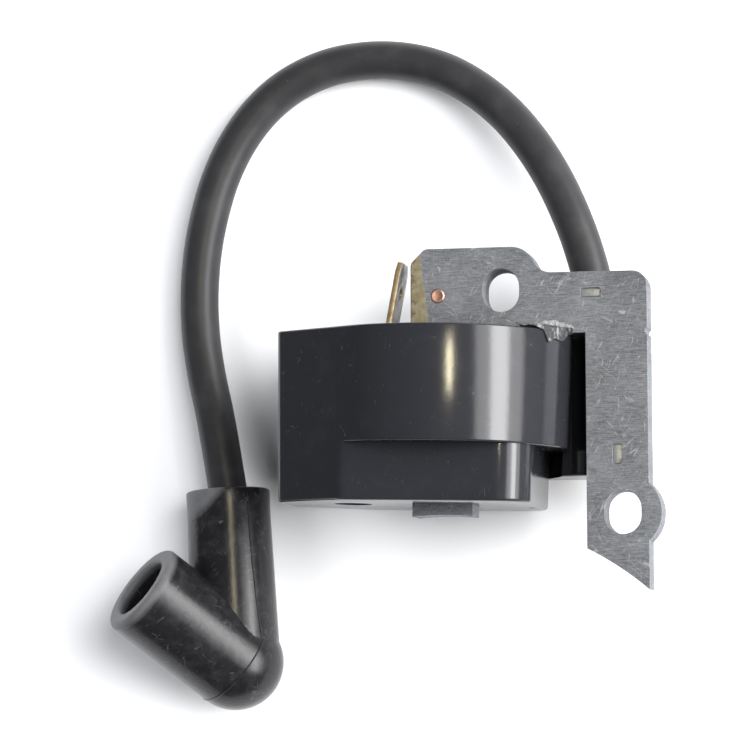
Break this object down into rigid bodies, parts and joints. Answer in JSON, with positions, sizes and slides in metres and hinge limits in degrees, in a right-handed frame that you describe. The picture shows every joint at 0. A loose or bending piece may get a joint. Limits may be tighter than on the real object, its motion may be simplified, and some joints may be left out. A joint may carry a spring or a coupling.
{
  "type": "ignition coil",
  "caption": "Small-engine ignition coil: slotted laminated steel core through a black potted housing, with a kill terminal and a high-tension lead to an angled spark plug boot.",
  "frame": {"origin": "middle of the bottom of the coil without its lead and boot, on the surface that it lies on", "axes": "+Y along the core's legs towards the crossbar, +X from the core leg towards the free leg, +Z along the lamination stack's normal"},
  "size_m": [0.0818, 0.0992, 0.0366],
  "materials": {
    "core_steel": "blanked silicon steel with fine grain, scratches and bright worn edges",
    "copper": "bare copper",
    "housing_plastic": "glossy black moulded thermoplastic",
    "potting_resin": "poured epoxy, dark, glossy with a meniscus",
    "bobbin_nylon": "natural nylon",
    "enamelled_wire": "copper magnet wire with amber enamel",
    "insulating_tape": "amber polyimide tape",
    "board_laminate": "green glass-epoxy board",
    "component_black": "moulded epoxy component bodies",
    "capacitor_red": "dipped film capacitor",
    "resistor_body": "lacquered resistor bodies",
    "diode_glass": "glass-bodied diodes",
    "tinned_brass": "tinned brass strip with bare brass at the cut edges",
    "contact_brass": "turned brass",
    "flash_resin": "torn grey resin film",
    "lead_insulation": "satin black extruded insulation",
    "lead_adhesive": "dark sealing adhesive",
    "boot_rubber": "satin black moulded rubber, greyer and worn at the rim",
    "spring_steel": "zinc-plated spring wire"
  },
  "bodies": {
    "coil": {"core_laminations": "core_steel", "ground_pin": "copper", "ground_wire": "copper", "housing": "housing_plastic", "potting": "potting_resin", "primary_bobbin": "bobbin_nylon", "primary_winding": "enamelled_wire", "winding_tape": "insulating_tape", "secondary_bobbin": "bobbin_nylon", "secondary_winding": "enamelled_wire", "trigger_winding": "enamelled_wire", "control_board": "board_laminate", "power_transistor": "component_black", "trigger_transistor": "component_black", "film_capacitor": "capacitor_red", "resistors": "resistor_body", "zener_diodes": "diode_glass", "primary_leads": "enamelled_wire", "kill_tab": "tinned_brass", "hv_contact": "contact_brass", "resin_flash": "flash_resin", "lead_root": "lead_insulation", "lead_root_core": "copper", "lead_adhesive": "lead_adhesive", "hv_lead": "lead_insulation", "lead_tip": "lead_insulation", "lead_tip_core": "copper"},
    "boot": {"plug_boot": "boot_rubber", "plug_terminal": "spring_steel"}
  },
  "joints": [
    {"name": "boot_swivel", "type": "hinge", "parent": "coil", "child": "boot", "pos_m": [-0.0384, -0.0087, 0.00605], "axis": [-0.0552, 0.9977, -0.0394], "range_deg": [-35, 145]}
  ]
}
